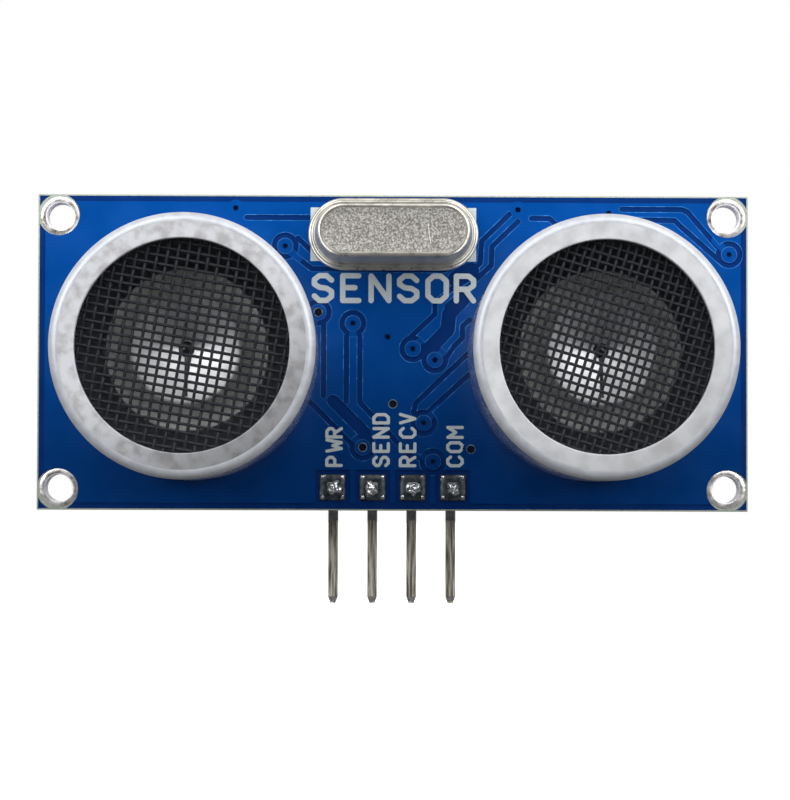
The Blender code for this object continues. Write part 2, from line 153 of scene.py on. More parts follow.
def bump(tree, source, shader, height):
    """Relief of this height in millimetres from a noise."""
    made = tree.nodes.new("ShaderNodeBump")
    made.inputs["Strength"].default_value = 1.0
    made.inputs["Distance"].default_value = height * MM
    tree.links.new(source.outputs["Fac"], made.inputs["Height"])
    tree.links.new(made.outputs["Normal"], shader.inputs["Normal"])


def paint_shade(tree, colour, direction, start, end, amount):
    """A colour with painted shade: it darkens by amount between two distances along a direction, in
    millimetres.
    """
    coords = tree.nodes.new("ShaderNodeTexCoord")
    along = tree.nodes.new("ShaderNodeVectorMath")
    along.operation = "DOT_PRODUCT"
    along.inputs[1].default_value = [part / MM for part in direction]
    tree.links.new(coords.outputs["Object"], along.inputs[0])
    fall = map_range(tree, along.outputs["Value"], (start, end), (1.0, 1.0 - amount), True)
    scaled = tree.nodes.new("ShaderNodeVectorMath")
    scaled.operation = "SCALE"
    tree.links.new(colour, scaled.inputs[0])
    tree.links.new(fall, scaled.inputs["Scale"])
    return scaled.outputs["Vector"]


def finish(name, stops, roughness, scale, metallic=0.0, relief=0.0, relief_scale=None, stretch=None,
           coat=0.0, specular=0.5, detail=3.0, shade=None):
    """A material whose colour, roughness and relief vary with noise.

    stops are the colours over the noise, roughness is a (low, high) range, scale and relief_scale
    are in features a millimetre, and relief is its height in millimetres. shade, when given, is
    painted shade, (direction, start, end, amount): the colour falls by amount from start to end
    along direction.
    """
    made, tree, shader = node_tree(name)
    pattern = noise_node(tree, scale, detail, stretch)
    colour = ramp(tree, pattern, stops).outputs["Color"]
    if shade:
        colour = paint_shade(tree, colour, *shade)
    tree.links.new(colour, shader.inputs["Base Color"])
    rough = map_range(tree, pattern.outputs["Fac"], NOISE_RANGE, roughness)
    tree.links.new(rough, shader.inputs["Roughness"])
    shader.inputs["Metallic"].default_value = metallic
    shader.inputs["Coat Weight"].default_value = coat
    shader.inputs["Coat Roughness"].default_value = 0.08
    shader.inputs["Specular IOR Level"].default_value = specular
    if relief:
        bump(tree, noise_node(tree, relief_scale or scale, detail, stretch), shader, relief)
    return made


def even(*colour, change=0.12):
    """Two stops close to one colour."""
    darker = [c * (1 - change) for c in colour]
    lighter = [c * (1 + change) for c in colour]
    return list(zip(NOISE_RANGE, (darker, lighter)))


# Painted shade on the mask over the copper, darker toward the lower edge: direction, start, end and
# amount
MASK_PAINTED_SHADE = ((0.0, -1.0, 0.0), -3.0, 8.0, 0.34)

# Both mask colours over the copper carry the painted shade toward the lower edge.
MASK_COPPER = finish(
    "mask_over_copper", even(0.0004, 0.06, 0.29, change=0.04), (0.12, 0.18), 0.5, specular=0.8,
    relief=0.001, relief_scale=2.5, shade=MASK_PAINTED_SHADE)
# A lighter mask colour along the copper's edges: a painted highlight.
MASK_EDGE_HIGHLIGHT = finish(
    "painted_highlight_on_copper_edge", even(0.012, 0.13, 0.44, change=0.3), (0.2, 0.3), 1.5, specular=0.8,
    shade=MASK_PAINTED_SHADE)
MASK_BARE = finish(
    "mask_over_laminate", even(0.0025, 0.028, 0.15, change=0.06), (0.12, 0.18), 0.5, relief=0.001,
    relief_scale=2.5)
LAMINATE = finish(
    "laminate_edge", even(0.42, 0.5, 0.47, change=0.18), (0.55, 0.7), 2.0,
    stretch=(0.3, 0.3, 12.0), relief=0.01)
BARE_LAMINATE = finish("bare_laminate", even(0.36, 0.4, 0.34), (0.45, 0.6), 5.0, relief=0.01)
SILKSCREEN = finish(
    "silkscreen_ink", even(0.5, 0.56, 0.57, change=0.06), (0.5, 0.65), 8.0, relief=0.01)
TINNED = finish(
    "tinned_land",
    [(0.3, (0.32, 0.25, 0.2)), (0.42, (0.66, 0.62, 0.59)), (0.66, (0.9, 0.89, 0.88))],
    (0.18, 0.42), 1.6, metallic=0.7, relief=0.03, relief_scale=2.5)
CAN_WALL = finish(
    "can_wall", even(0.87, 0.88, 0.9, change=0.03), (0.22, 0.29), 0.8, metallic=1.0,
    stretch=(1.0, 1.0, 0.15), relief=0.002, relief_scale=3.0)
CAN_EDGE = finish(
    "can_edge", even(0.5, 0.52, 0.56, change=0.08), (0.38, 0.46), 1.6, metallic=0.3, relief=0.002,
    relief_scale=3.0)
# The receiver's satin rim, with painted shade that darkens it toward the bottom.
CAN_RIM_PAINTED_SHADE = finish(
    "can_rim_painted_shade", [(0.32, (0.5, 0.5, 0.515)), (0.48, (0.57, 0.58, 0.6)), (0.62, (0.63, 0.64, 0.66))],
    (0.5, 0.6), 0.9, metallic=0.2, relief=0.004, relief_scale=4.0, detail=7.0,
    shade=((0.3, -0.95, 0.0), 3.0, 13.0, 0.3))
# The transmitter's rim: blotchy stains of its own, and painted shade that darkens it toward the
# lower right.
STAINED_AND_SHADED_RIM = finish(
    "stained_and_shaded_can_rim",
    [(0.36, (0.42, 0.415, 0.43)), (0.47, (0.52, 0.525, 0.545)), (0.58, (0.6, 0.61, 0.64))],
    (0.5, 0.6), 1.4, metallic=0.2, relief=0.004, relief_scale=4.0, detail=8.0,
    shade=((0.5, -0.85, 0.0), -8.0, 2.5, 0.66))
CAN_INSIDE = finish("can_inside", even(0.4, 0.41, 0.44), (0.5, 0.7), 1.0, relief=0.01)
SCREEN_WIRE = finish(
    "screen_wire", even(0.015, 0.0175, 0.0215, change=0.3), (0.5, 0.6), 4.0, specular=0.22)
CONE = finish(
    "cone_metal", even(0.97, 0.975, 0.99, change=0.02), (0.3, 0.36), 1.5, metallic=1.0,
    relief=0.001, relief_scale=1.0)
DISC = finish(
    "diaphragm_metal", even(0.92, 0.91, 0.87, change=0.07), (0.4, 0.55), 1.0, relief=0.002)
# Dark glue for the drop at the cone's middle, also used for a streak of painted reflection down the
# cone.
GLUE_AND_PAINTED_STREAK = finish("glue_drop", even(0.02, 0.02, 0.022), (0.05, 0.12), 2.0, coat=1.0)
NICKEL_TOP = finish(
    "crystal_frosted_top",
    [(0.3, (0.1, 0.095, 0.08)), (0.48, (0.25, 0.24, 0.22)), (0.7, (0.6, 0.59, 0.54))],
    (0.45, 0.55), 8.5, metallic=0.25, relief=0.003, relief_scale=9.0, detail=9.0)
# A darker, duller copy of the nickel for the cover's side: a painted reflection of the dark around
# it, with fine horizontal lines of its own.
NICKEL_SIDE_PAINTED_REFLECTION = finish(
    "crystal_side_painted_reflection", even(0.4, 0.395, 0.38, change=0.15), (0.3, 0.4), 1.0, metallic=0.55,
    stretch=(1.0, 1.0, 12.0), relief=0.004)
SCRATCH = finish("crystal_scratch", even(0.75, 0.73, 0.66), (0.3, 0.4), 3.0, metallic=0.4)
NICKEL = finish(
    "crystal_nickel", even(0.58, 0.56, 0.5, change=0.1), (0.26, 0.34), 1.5, metallic=0.85)
# The pads' tin painted dark under a clear coat: a painted reflection of the dark space in front.
PAD_PAINTED_REFLECTION = finish(
    "pad_painted_reflection", [(0.3, (0.03, 0.045, 0.06)), (0.7, (0.16, 0.19, 0.21))], (0.06, 0.12), 3.0,
    metallic=0.6, coat=0.8, relief=0.004)
SOLDER = finish(
    "solder", even(0.55, 0.56, 0.58, change=0.25), (0.08, 0.2), 2.5, metallic=1.0, relief=0.01,
    relief_scale=4.0)
PIN = finish("pin_metal", [(0.4, (0.2, 0.18, 0.15)), (0.48, (0.5, 0.46, 0.37)),
                           (0.54, (0.7, 0.66, 0.56)), (0.62, (1.0, 0.96, 0.84))], (0.3, 0.45),
             9.0, metallic=0.3, stretch=(1.0, 0.05, 1.0), relief=0.004, detail=4.0)
# A darker copy of the pin metal: painted shade just below the board and on the chamfered tips.
PIN_PAINTED_SHADE = finish(
    "pin_painted_shade", even(0.36, 0.35, 0.34, change=0.25), (0.4, 0.5), 5.0, metallic=0.4, relief=0.004)
HEADER = finish(
    "header_plastic", even(0.012, 0.012, 0.013, change=0.25), (0.4, 0.55), 2.0, relief=0.008,
    relief_scale=6.0)
EPOXY = finish(
    "chip_epoxy", even(0.022, 0.022, 0.024, change=0.2), (0.55, 0.75), 6.0, relief=0.012,
    relief_scale=9.0)
LEG = finish(
    "chip_leg", even(0.66, 0.66, 0.65, change=0.1), (0.2, 0.38), 3.0, metallic=1.0, relief=0.01)
GLAZE = finish("resistor_glaze", even(0.015, 0.015, 0.018, change=0.2), (0.12, 0.25), 4.0, coat=0.4)
TAN = finish(
    "capacitor_ceramic", even(0.33, 0.21, 0.12, change=0.12), (0.35, 0.5), 5.0, relief=0.01)
VIA_RING = finish("via_ring", even(0.14, 0.22, 0.25, change=0.3), (0.2, 0.4), 3.0, metallic=0.5)
# A near-black disc over each via: painted shade standing in for the shade inside its hole.
HOLE_PAINTED_SHADE = finish("via_hole_painted_shade", even(0.002, 0.004, 0.016), (0.4, 0.6), 2.0, specular=0.1)
# A lighter, duller copy of the tin for the bevel and wall of each corner hole: painted light.
BARREL_PAINTED_LIGHT = finish("hole_plating_painted_light", even(0.78, 0.78, 0.84, change=0.05), (0.3, 0.45), 3.0, metallic=0.3)
PIEZO = finish("piezo_ceramic", even(0.5, 0.45, 0.34), (0.5, 0.65), 3.0)
RUBBER = finish("silicone", even(0.7, 0.7, 0.67, change=0.06), (0.45, 0.6), 3.0)
BASE = finish("base_plastic", even(0.3, 0.31, 0.34), (0.5, 0.65), 3.0)
QUARTZ = finish("quartz", even(0.8, 0.83, 0.87, change=0.03), (0.05, 0.1), 1.0)

# ---------------------------------------------------------------------------
# Shapes: each is (vertices, faces), in millimetres in its flat frame


def bands(rows, count, closed=False):
    """The faces between rings of count points, the last joined to the first if closed."""
    faces = []
    for row in range(rows if closed else rows - 1):
        upper = row * count
        lower = (row + 1) % rows * count
        for i in range(count):
            j = (i + 1) % count
            faces.append((upper + i, lower + i, lower + j, upper + j))
    return faces


def caps(rows, count):
    """The faces over the first and the last of the rings."""
    return [tuple(range(count)), tuple(reversed(range((rows - 1) * count, rows * count)))]


def turned(profile, x=0.0, y=0.0, reach=0.0, steps=64, closed=False):
    """A profile of (radius, z) from the front down, turned about z.

    With a reach it is swept round a stadium whose half-round ends are that far from its middle.
    """
    verts = []
    for radius, z in profile:
        if reach:
            ring = arc(x + reach, y, radius, -90, 90, steps // 2)
            ring += arc(x - reach, y, radius, 90, 270, steps // 2)
        else:
            ring = arc(x, y, radius, -90, 270 - 360 / steps, steps - 1)
        verts += [(u, v, z) for u, v in ring]
    rows = len(profile)
    count = len(verts) // rows
    return verts, bands(rows, count, closed) + ([] if closed else caps(rows, count))


def prism(outline, low, high):
    """An outline of (x, y), anticlockwise, made solid from z low to z high."""
    count = len(outline)
    verts = [(x, y, low) for x, y in outline] + [(x, y, high) for x, y in outline]
    faces = [tuple(reversed(range(count))), tuple(range(count, 2 * count))]
    for i in range(count):
        j = (i + 1) % count
        faces.append((i, j, count + j, count + i))
    return verts, faces


def arc(x, y, radius, start, end, steps):
    angles = [math.radians(start + (end - start) * i / steps) for i in range(steps + 1)]
    return [(x + radius * math.cos(a), y + radius * math.sin(a)) for a in angles]


def circle(x, y, radius, steps=32):
    return arc(x, y, radius, 0, 360 * (steps - 1) / steps, steps - 1)


def capsule(start, end, width, steps=5):
    """The outline of a straight stroke with round ends."""
    (ax, ay), (bx, by) = start, end
    heading = math.degrees(math.atan2(by - ay, bx - ax))
    radius = width / 2
    far = arc(bx, by, radius, heading - 90, heading + 90, steps)
    near = arc(ax, ay, radius, heading + 90, heading + 270, steps)
    return far + near


def rectangle(x0, y0, x1, y1):
    return [(x0, y0), (x1, y0), (x1, y1), (x0, y1)]


def block(x, y, z, width, height, depth):
    """A block centred on a point."""
    outline = rectangle(x - width / 2, y - height / 2, x + width / 2, y + height / 2)
    return prism(outline, z - depth / 2, z + depth / 2)


def strokes(paths, width, low, high):
    """One capsule for each straight stretch of the paths."""
    shapes = []
    for path in paths:
        for start, end in zip(path, path[1:]):
            shapes.append(prism(capsule(start, end, width), low, high))
    return shapes


def tube(path, radius, sides=6):
    """A round wire along a path of points, with closed ends."""
    path = [Vector(p) for p in path]
    verts = []
    for i, point in enumerate(path):
        along = (path[min(i + 1, len(path) - 1)] - path[max(i - 1, 0)]).normalized()
        side = along.cross(Vector((0.0, 0.0, 1.0)))
        if side.length < 0.01:
            side = Vector((1.0, 0.0, 0.0))
        side.normalize()
        up = side.cross(along)
        for k in range(sides):
            a = 2 * math.pi * k / sides
            verts.append(tuple(point + radius * (math.cos(a) * side + math.sin(a) * up)))
    return verts, bands(len(path), sides) + caps(len(path), sides)


def moved(shape, matrix):
    verts, faces = shape
    return [tuple(matrix @ Vector(v)) for v in verts], faces


def flat_mesh(name, shapes):
    """One mesh in millimetres from (vertices, faces) or (vertices, faces, material index)."""
    verts = []
    faces = []
    indices = []
    for shape in shapes:
        first = len(verts)
        verts += shape[0]
        faces += [tuple(first + i for i in face) for face in shape[1]]
        indices += [shape[2] if len(shape) > 2 else 0] * len(shape[1])
    mesh = bpy.data.meshes.new(name)
    mesh.from_pydata(verts, [], faces)
    mesh.polygons.foreach_set("material_index", indices)
    bm = bmesh.new()
    bm.from_mesh(mesh)
    bmesh.ops.recalc_face_normals(bm, faces=bm.faces)
    bm.to_mesh(mesh)
    bm.free()
    return mesh


def boolean(mesh, operation, shapes):
    """The mesh with shapes cut from it, added to it, or kept from it. Shapes may overlap."""
    scene = bpy.context.scene.collection
    target = bpy.data.objects.new("target", mesh)
    tool = bpy.data.objects.new("tool", flat_mesh("tool", shapes))
    scene.objects.link(target)
    scene.objects.link(tool)
    step = target.modifiers.new("step", "BOOLEAN")
    step.operation = operation
    step.solver = "EXACT"
    step.use_self = True
    step.object = tool
    graph = bpy.context.evaluated_depsgraph_get()
    result = bpy.data.meshes.new_from_object(target.evaluated_get(graph))
    bpy.data.objects.remove(target)
    bpy.data.objects.remove(tool)
    return result


def merged(name, shapes):
    """Overlapping shapes joined into one clean surface."""
    around = block(0.0, 0.0, 0.0, 200.0, 200.0, 200.0)
    return boolean(flat_mesh(name, shapes), "INTERSECT", [around])


def faces_round(mesh, centre):
    """Each face of a mesh, with its distance from an axis along z through the centre."""
    for face in mesh.polygons:
        yield face, math.hypot(face.center.x - centre.x, face.center.y - centre.y)


def piece(name, mesh, materials, matrix=FRONT, replaces=(), edge=0.0, segments=2, angle=35.0):
    """Makes the visible piece from a mesh in millimetres, and hangs it on the CAD model."""
    mesh.name = name
    mesh.transform(Matrix.Scale(MM, 4))
    made = bpy.data.objects.new(name, mesh)
    bpy.context.scene.collection.objects.link(made)
    for material in materials:
        mesh.materials.append(material)
    mesh.shade_smooth()
    mesh.set_sharp_from_angle(angle=math.radians(angle))
    made.matrix_world = matrix
    if edge:
        rounding = made.modifiers.new("Rounding", "BEVEL")
        rounding.width = edge * MM
        rounding.segments = segments
        rounding.limit_method = "ANGLE"
        rounding.angle_limit = math.radians(50)
        rounding.harden_normals = True
    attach(made, "root")
    if replaces:
        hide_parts(*replaces)
    return made


# ---------------------------------------------------------------------------
# Stroke letters for the printed labels, in units of the letter height

GLYPHS = {
    "C": [[(0.66, 0.8), (0.46, 1), (0.2, 1), (0, 0.8), (0, 0.2), (0.2, 0), (0.46, 0),
          (0.66, 0.2)]],
    "D": [[(0, 0), (0, 1), (0.4, 1), (0.62, 0.78), (0.62, 0.22), (0.4, 0), (0, 0)]],
    "E": [[(0.58, 1), (0, 1), (0, 0), (0.58, 0)], [(0, 0.52), (0.44, 0.52)]],
    "M": [[(0, 0), (0, 1), (0.37, 0.45), (0.74, 1), (0.74, 0)]],
    "N": [[(0, 0), (0, 1), (0.64, 0), (0.64, 1)]],
    "O": [[(0.2, 0), (0, 0.2), (0, 0.8), (0.2, 1), (0.46, 1), (0.66, 0.8), (0.66, 0.2), (0.46, 0),
          (0.2, 0)]],
    "P": [[(0, 0), (0, 1), (0.42, 1), (0.6, 0.84), (0.6, 0.6), (0.42, 0.45), (0, 0.45)]],
    "R": [[(0, 0), (0, 1), (0.44, 1), (0.62, 0.84), (0.62, 0.62), (0.44, 0.47), (0, 0.47)],
          [(0.3, 0.47), (0.62, 0)]],
    "S": [[(0.62, 0.82), (0.44, 1), (0.18, 1), (0, 0.84), (0, 0.66), (0.18, 0.53), (0.44, 0.49),
          (0.62, 0.36), (0.62, 0.16), (0.44, 0), (0.18, 0), (0, 0.18)]],
    "V": [[(0, 1), (0.32, 0), (0.64, 1)]],
    "W": [[(0, 1), (0.2, 0), (0.42, 0.6), (0.64, 0), (0.84, 1)]],
}


def label(text, x, y, height, pitch, widen=1.0, turn=0.0):
    """Stroke paths of a word. The start is the baseline's left end, and turn is in degrees."""
    turning = Matrix.Rotation(math.radians(turn), 2)
    paths = []
    for number, letter in enumerate(text):
        for path in GLYPHS[letter]:
            points = []
            for u, v in path:
                local = Vector((number * pitch + u * height * widen, v * height))
                points.append(tuple(Vector((x, y)) + turning @ local))
            paths.append(points)
    return paths


# ---------------------------------------------------------------------------
# The board: laminate, solder mask, copper relief and printed ink

MASK_TOP = 0.015
COPPER_TOP = 0.08
INK_BOTTOM = 0.06
INK_TOP = 0.1
CHANNEL = 0.32
STUB = 0.5
EDGE_BEAD = 0.05
BEAD_RISE = 0.004
MASK_INSET = 0.1
POUR_INSET = 0.45
VIA_PAD = 0.53
VIA_CLEARANCE = 0.85
VIA_TOP = COPPER_TOP + 0.02
HOLE_RADIUS = 0.85
CORNER_OPENING = 1.32
OPENING_SHIFT = 0.09
PAD_SIZE = 1.65
PAD_CLEARANCE = 2.2

corner_nodes = [f"corner_ring_{row}_{side}" for row in ("upper", "lower")
                for side in ("left", "right")]
corners = [middle(node) for node in corner_nodes]
header_pads = [middle(f"header_solder_{n}") for n in range(1, 5)]

# Isolation channels in the front copper, as centre lines, and the wide ones with their width
FRONT_GAPS = [
    [(-4.4, 2.0), (-4.4, -2.75)],
    [(-5.25, -3.15), (-2.55, -5.85)],
    [(-2.95, 1.05), (-2.95, -3.1)],
    [(-2.1, 1.05), (-2.1, -3.15), (0.95, -6.4), (2.0, -6.75)],
    [(7.4, 8.85), (5.6, 7.1), (5.5, 5.7), (2.65, 3.1), (2.65, 2.45), (0.9, 0.8)],
    [(7.9, 8.35), (6.25, 6.75), (6.2, 5.55), (3.4, 2.95)],
    [(4.85, 2.1), (4.4, 1.7), (4.4, 0.95), (3.8, 0.35), (3.35, -0.35)],
    [(5.0, 0.2), (1.45, -3.2), (1.3, -3.8)],
    [(5.0, -1.2), (2.35, -3.65)],
    [(8.75, 8.55), (9.9, 8.55), (10.7, 7.8)],
    [(-9.3, 8.55), (-5.2, 8.55)],
    [(-6.05, 7.25), (-5.1, 6.35)],
    [(-6.4, 6.25), (-5.15, 5.3), (3.3, 5.25)],
    [(14.5, 9.15), (18.3, 9.15), (18.65, 9.0), (20.55, 6.8)],
    [(14.5, 8.5), (17.85, 8.45), (18.25, 8.05), (20.7, 5.9)],
]
FRONT_CHANNELS = [(CHANNEL, path) for path in FRONT_GAPS] + [
    (0.75, [(-3.8, -3.05), (-1.7, -5.15)]),
    (0.9, [(4.4, 3.35), (3.55, 2.5), (3.45, 1.45), (2.25, 0.2)]),
    (1.1, [(4.0, 4.7), (4.9, 5.2)]),
]

# Vias: (x, y, isolated from the pour, open instead of covered by the mask)
FRONT_VIAS = [
    (-4.75, 2.55, True, True),
    (-2.55, 1.85, True, False),
    (-1.9, -6.0, True, True),
    (1.25, 0.25, True, False),
    (2.65, -0.45, True, False),
    (-0.35, 1.0, False, False),
    (0.0, -3.25, False, True),
    (1.95, -4.45, True, False),
    (2.55, -6.9, True, False),
    (4.95, -6.1, False, True),
    (7.9, 9.1, False, False),
    (13.65, 8.9, False, False),
    (21.3, 6.3, True, False),
    (-10.0, 9.15, False, False),
    (-6.85, 6.75, True, False),
]

# Copper that joins an isolated via to its trace
FRONT_STUBS = [
    [(-2.55, 1.85), (-2.55, 0.6)],
    [(-4.75, 2.55), (-5.2, 1.6)],
    [(-1.9, -6.0), (-3.0, -4.9)],
    [(1.95, -4.45), (2.9, -3.5)],
    [(2.65, -0.45), (3.5, 0.4)],
    [(2.55, -6.9), (1.6, -6.4)],
    [(21.3, 6.3), (20.4, 7.2)],
    [(-6.85, 6.75), (-6.0, 5.9)],
    [(1.25, 0.25), (2.2, 1.2)],
]


def laminate():
    """The laminate core, with its four corner holes."""
    core = flat_mesh("core", [block(0, 0, -THICKNESS / 2, 2 * BOARD_X, 2 * BOARD_Y, THICKNESS)])
    holes = [prism(circle(c.x, c.y, HOLE_RADIUS + 0.06, 48), -THICKNESS - 1, 1) for c in corners]
    core = boolean(core, "DIFFERENCE", holes)
    for face in core.polygons:
        face.material_index = int(abs(face.normal.z) > 0.5)
    piece("board_core", core, [LAMINATE, BARE_LAMINATE],
          replaces=("circuit_board",), edge=0.06)


def mask(name, matrix, openings):
    """The solder mask over the bare laminate: a thin skin with openings."""
    x = BOARD_X - MASK_INSET
    y = BOARD_Y - MASK_INSET
    skin = flat_mesh(name, [prism(rectangle(-x, -y, x, y), -0.01, MASK_TOP)])
    skin = boolean(skin, "DIFFERENCE", [prism(o, -1, 1) for o in openings])
    piece(name, skin, [MASK_BARE], matrix)


def copper(name, matrix, channels, vias, stubs, openings):
    """The copper under the mask, raised above the bare parts, with painted highlights along its
    edges: thin ridges in a lighter mask colour.
    """
    isolated = [(vx, vy) for vx, vy, alone, _ in vias if alone]
    gaps = [prism(o, -1, 1) for o in openings]
    for width, path in channels:
        gaps += strokes([path], width, -1, 1)
    gaps += [prism(circle(vx, vy, VIA_CLEARANCE), -1, 1) for vx, vy in isolated]
    # Thin ridges along the channels and round the isolated vias, in the lighter mask colour of a
    # painted highlight.
    low, high = COPPER_TOP - 0.03, COPPER_TOP + BEAD_RISE
    beads = [prism(circle(vx, vy, VIA_CLEARANCE + EDGE_BEAD), low, high) for vx, vy in isolated]
    for width, path in channels:
        beads += strokes([path], width + 2 * EDGE_BEAD, low, high)
    beads = boolean(merged(name + "_bead", beads), "DIFFERENCE", gaps)
    piece(name + "_edges", beads, [MASK_EDGE_HIGHLIGHT], matrix)
    # A painted highlight round each isolated via's pad, in the same lighter mask colour.
    ring = [(VIA_PAD - EDGE_BEAD, VIA_TOP + BEAD_RISE), (VIA_PAD + 0.003, VIA_TOP - BEAD_RISE),
            (VIA_PAD + 0.003, 0.02), (VIA_PAD - EDGE_BEAD, 0.02)]
    rings = [turned(ring, vx, vy, steps=32, closed=True) for vx, vy in isolated]
    piece(name + "_via_edges", flat_mesh(name, rings), [MASK_EDGE_HIGHLIGHT], matrix)
    x = BOARD_X - POUR_INSET
    y = BOARD_Y - POUR_INSET
    pour = flat_mesh(name, [prism(rectangle(-x, -y, x, y), 0.0, COPPER_TOP)])
    pour = boolean(pour, "DIFFERENCE", gaps)
    added = [prism(circle(vx, vy, VIA_PAD), 0.0, VIA_TOP) for vx, vy, _, _ in vias]
    pour = boolean(pour, "UNION", added + strokes(stubs, STUB, 0.0, COPPER_TOP))
    dimples = [prism(circle(vx, vy, 0.17, 12), MASK_TOP, 1) for vx, vy, _, _ in vias]
    pour = boolean(pour, "DIFFERENCE", dimples)
    piece(name, pour, [MASK_COPPER], matrix, edge=0.03, angle=20.0)


def via_details(name, matrix, vias):
    """A near-black disc of painted shade where each via's hole is, and the bright ring of each open
    one.
    """
    open_hole = [(0.25, VIA_TOP + 0.006), (0.25, 0.0)]
    ring = [(0.24, VIA_TOP + 0.015), (0.28, VIA_TOP + 0.015), (0.3, VIA_TOP), (0.3, 0.0),
            (0.24, 0.0)]
    covered_hole = [(0.1, MASK_TOP + 0.01), (0.1, 0.0)]
    holes = []
    rings = []
    for x, y, _, is_open in vias:
        if is_open:
            holes.append(turned(open_hole, x, y, steps=24))
            rings.append(turned(ring, x, y, steps=24, closed=True))
        else:
            holes.append(turned(covered_hole, x, y, steps=16))
    piece(name + "_holes", flat_mesh(name, holes), [HOLE_PAINTED_SHADE], matrix)
    piece(name + "_rings", flat_mesh(name, rings), [VIA_RING], matrix)


def front_print():
    """The white ink on the front: the title, the pin labels and the crystal's rectangle."""
    title = label("SENSOR", -5.0, 3.3, height=1.57, pitch=1.8, widen=1.12)
    shapes = strokes(title, 0.34, INK_BOTTOM, INK_TOP)
    for word, right in (("PWR", -3.25), ("SEND", -0.28), ("RECV", 1.4), ("COM", 4.4)):
        paths = label(word, right, -7.15, height=0.92, pitch=0.9, widen=0.92, turn=90)
        shapes += strokes(paths, 0.2, INK_BOTTOM, INK_TOP)
    _, _, centre, half = local_box("crystal_base")
    x = half.x - 0.15
    y = 1.7
    shapes.append(prism(rectangle(-x, centre.y - y, x, centre.y + y), INK_BOTTOM, INK_TOP))
    piece("front_print", merged("ink", shapes), [SILKSCREEN], edge=0.008,
          segments=1)


def corner_lands():
    """The plated corner holes, with slightly domed tinned lands on both faces, and painted light on
    each hole's bevel and wall.
    """
    bore = HOLE_RADIUS
    for node in corner_nodes:
        low, high, centre, half = local_box(node)
        outer = half.x
        top = high.z
        back = low.z
        profile = [(bore, top - 0.03), (bore + 0.08, top), (outer - 0.12, top), (outer, top - 0.05),
                   (outer, 0.0), (bore + 0.04, 0.0), (bore + 0.04, -THICKNESS),
                   (outer, -THICKNESS), (outer, back + 0.05), (outer - 0.12, back),
                   (bore + 0.08, back), (bore, back + 0.03)]
        mesh = flat_mesh(node, [turned(profile, centre.x, centre.y, closed=True)])
        # The faces near the bore take the lighter tin of the painted light.
        for face, reach in faces_round(mesh, centre):
            face.material_index = int(reach < bore + 0.06)
        piece(f"plated_{node}", mesh, [TINNED, BARREL_PAINTED_LIGHT], replaces=(node,))


def corner_openings(side):
    """The circles kept free round the corner holes; side is -1 as seen from behind."""
    return [circle(side * c.x + math.copysign(OPENING_SHIFT, side * c.x),
                   c.y + math.copysign(OPENING_SHIFT, c.y), CORNER_OPENING, 48) for c in corners]


laminate()
clear = PAD_CLEARANCE / 2
pad_openings = [rectangle(p.x - clear, p.y - clear, p.x + clear, p.y + clear)
                for p in header_pads]
mask("front_mask", FRONT, corner_openings(1))
copper("front_copper", FRONT, FRONT_CHANNELS, FRONT_VIAS, FRONT_STUBS,
       corner_openings(1) + pad_openings)
via_details("front_via", FRONT, FRONT_VIAS)
front_print()
corner_lands()

# ---------------------------------------------------------------------------
# The transducers

ROLL = 0.57
WALL = 0.6
RIM_DEPTH = 0.5
RIM_OPENING = 6.43
WIRE_RADIUS = 0.095
CONE_DEPTH = 1.35
CONE_SHEET = 0.13
CONE_FOOT = 0.62
# The radius of the dark tube of painted reflection down the cone.
PAINTED_STREAK_RADIUS = 0.14


def can(name, rim):
    """The aluminium can: polished wall, rolled front edge, satin rim, dark inside."""
    low, high, centre, half = local_box(f"{name}_case")
    radius = half.x
    top = high.z
    inner = radius - WALL
    rim_back = top - RIM_DEPTH
    rolled = arc(radius - ROLL, top - ROLL, ROLL, 90, 0, 12)
    wall = [(radius - 0.03, top - ROLL - 0.2), (radius - 0.03, low.z + 0.35)]
    wall += arc(radius - 0.15, low.z + 0.15, 0.15, 40, -90, 5)
    inside = [(inner, low.z), (inner, rim_back), (RIM_OPENING, rim_back)]
    lip = [(RIM_OPENING, top - 0.06), (RIM_OPENING + 0.02, top - 0.02), (RIM_OPENING + 0.06, top),
           (RIM_OPENING + 0.1, top), (radius - ROLL - 0.03, top)]
    profile = rolled + wall + inside + lip
    mesh = flat_mesh(name, [turned(profile, centre.x, centre.y, steps=160, closed=True)])
    for face, reach in faces_round(mesh, centre):
        if reach < inner + 0.3 and face.center.z < rim_back + 0.05:
            face.material_index = 2
        elif face.center.z > top - 0.05 and reach < radius - ROLL:
            face.material_index = 1
        elif face.center.z > top - ROLL:
            face.material_index = 3
    piece(f"{name}_can", mesh, [CAN_WALL, rim, CAN_INSIDE, CAN_EDGE],
          replaces=(f"{name}_case",), angle=50.0)


